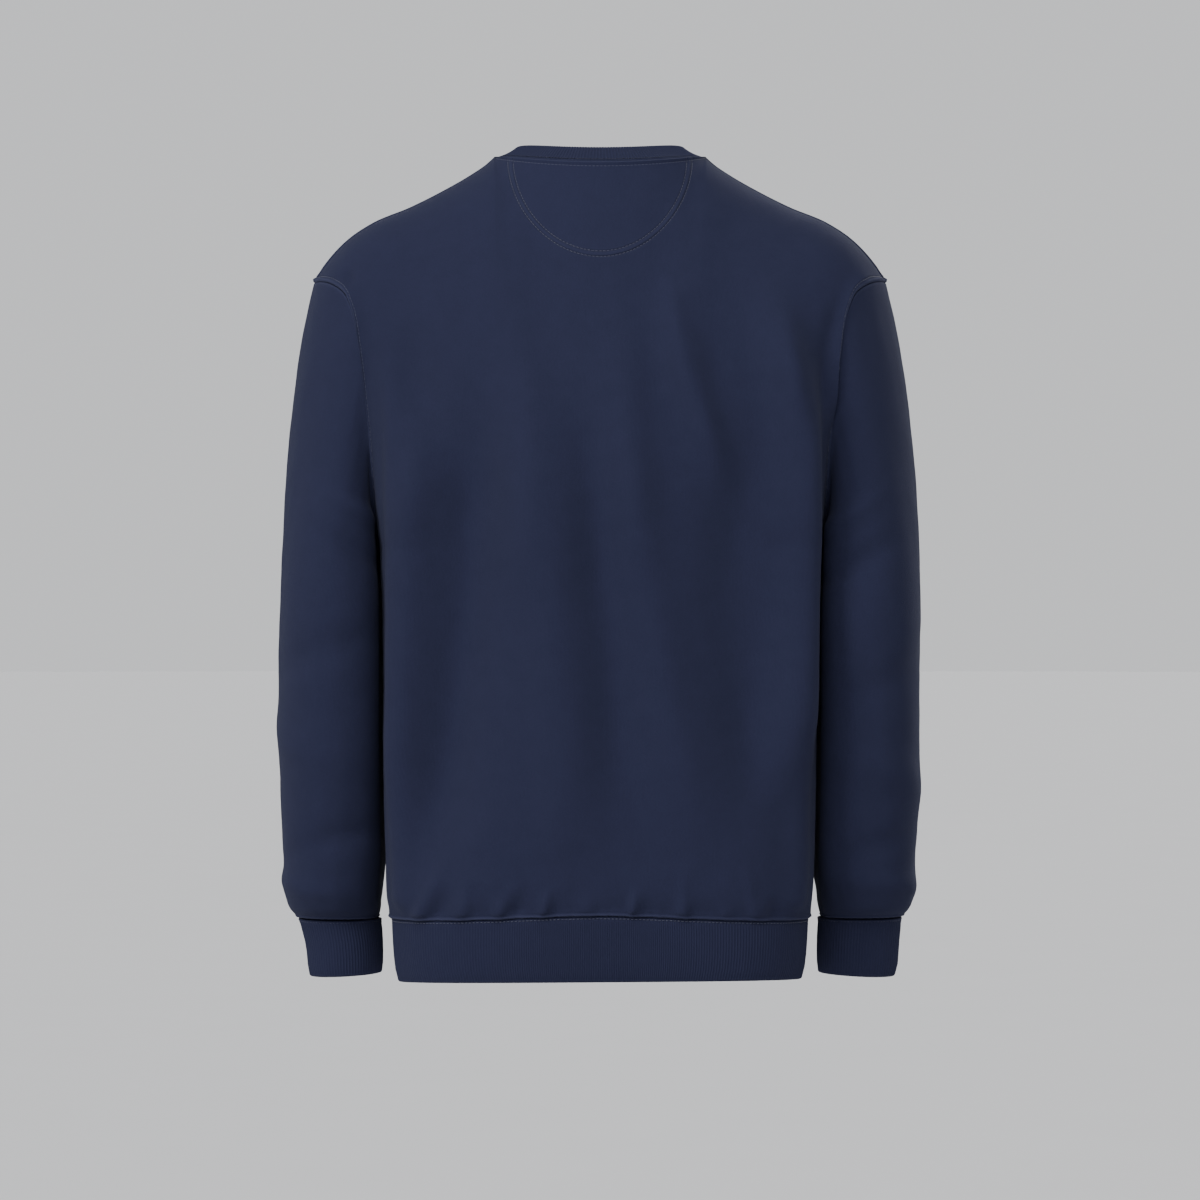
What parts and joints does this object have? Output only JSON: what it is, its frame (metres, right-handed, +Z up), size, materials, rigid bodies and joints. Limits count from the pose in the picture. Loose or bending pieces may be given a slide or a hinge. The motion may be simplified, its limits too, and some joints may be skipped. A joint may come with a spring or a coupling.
{
  "type": "crewneck sweatshirt",
  "caption": "Long-sleeved crewneck sweatshirt, filled out as if worn, with a ribbed collar, waistband and cuffs and an inner half-moon at the back neck.",
  "frame": {"origin": "the middle of the neck opening, level with the tops of the shoulder seams, where the wearer's neck and shoulders carry the garment", "axes": "+Z up along the body, -Y out of the front, +X to the wearer's left"},
  "size_m": [0.5485, 0.2636, 0.7092],
  "materials": {
    "navy_fleece": "matte navy cotton fleece, smooth fine jersey outside",
    "navy_rib": "matte navy cotton rib, fine upright ribs"
  },
  "bodies": {
    "root": {"back_panel": "navy_fleece", "front_panel": "navy_fleece", "sleeve_left": "navy_fleece", "sleeve_right": "navy_fleece", "neck_patch": "navy_fleece", "collar": "navy_rib", "waistband": "navy_rib", "cuff_left": "navy_rib", "cuff_right": "navy_rib"}
  },
  "joints": []
}
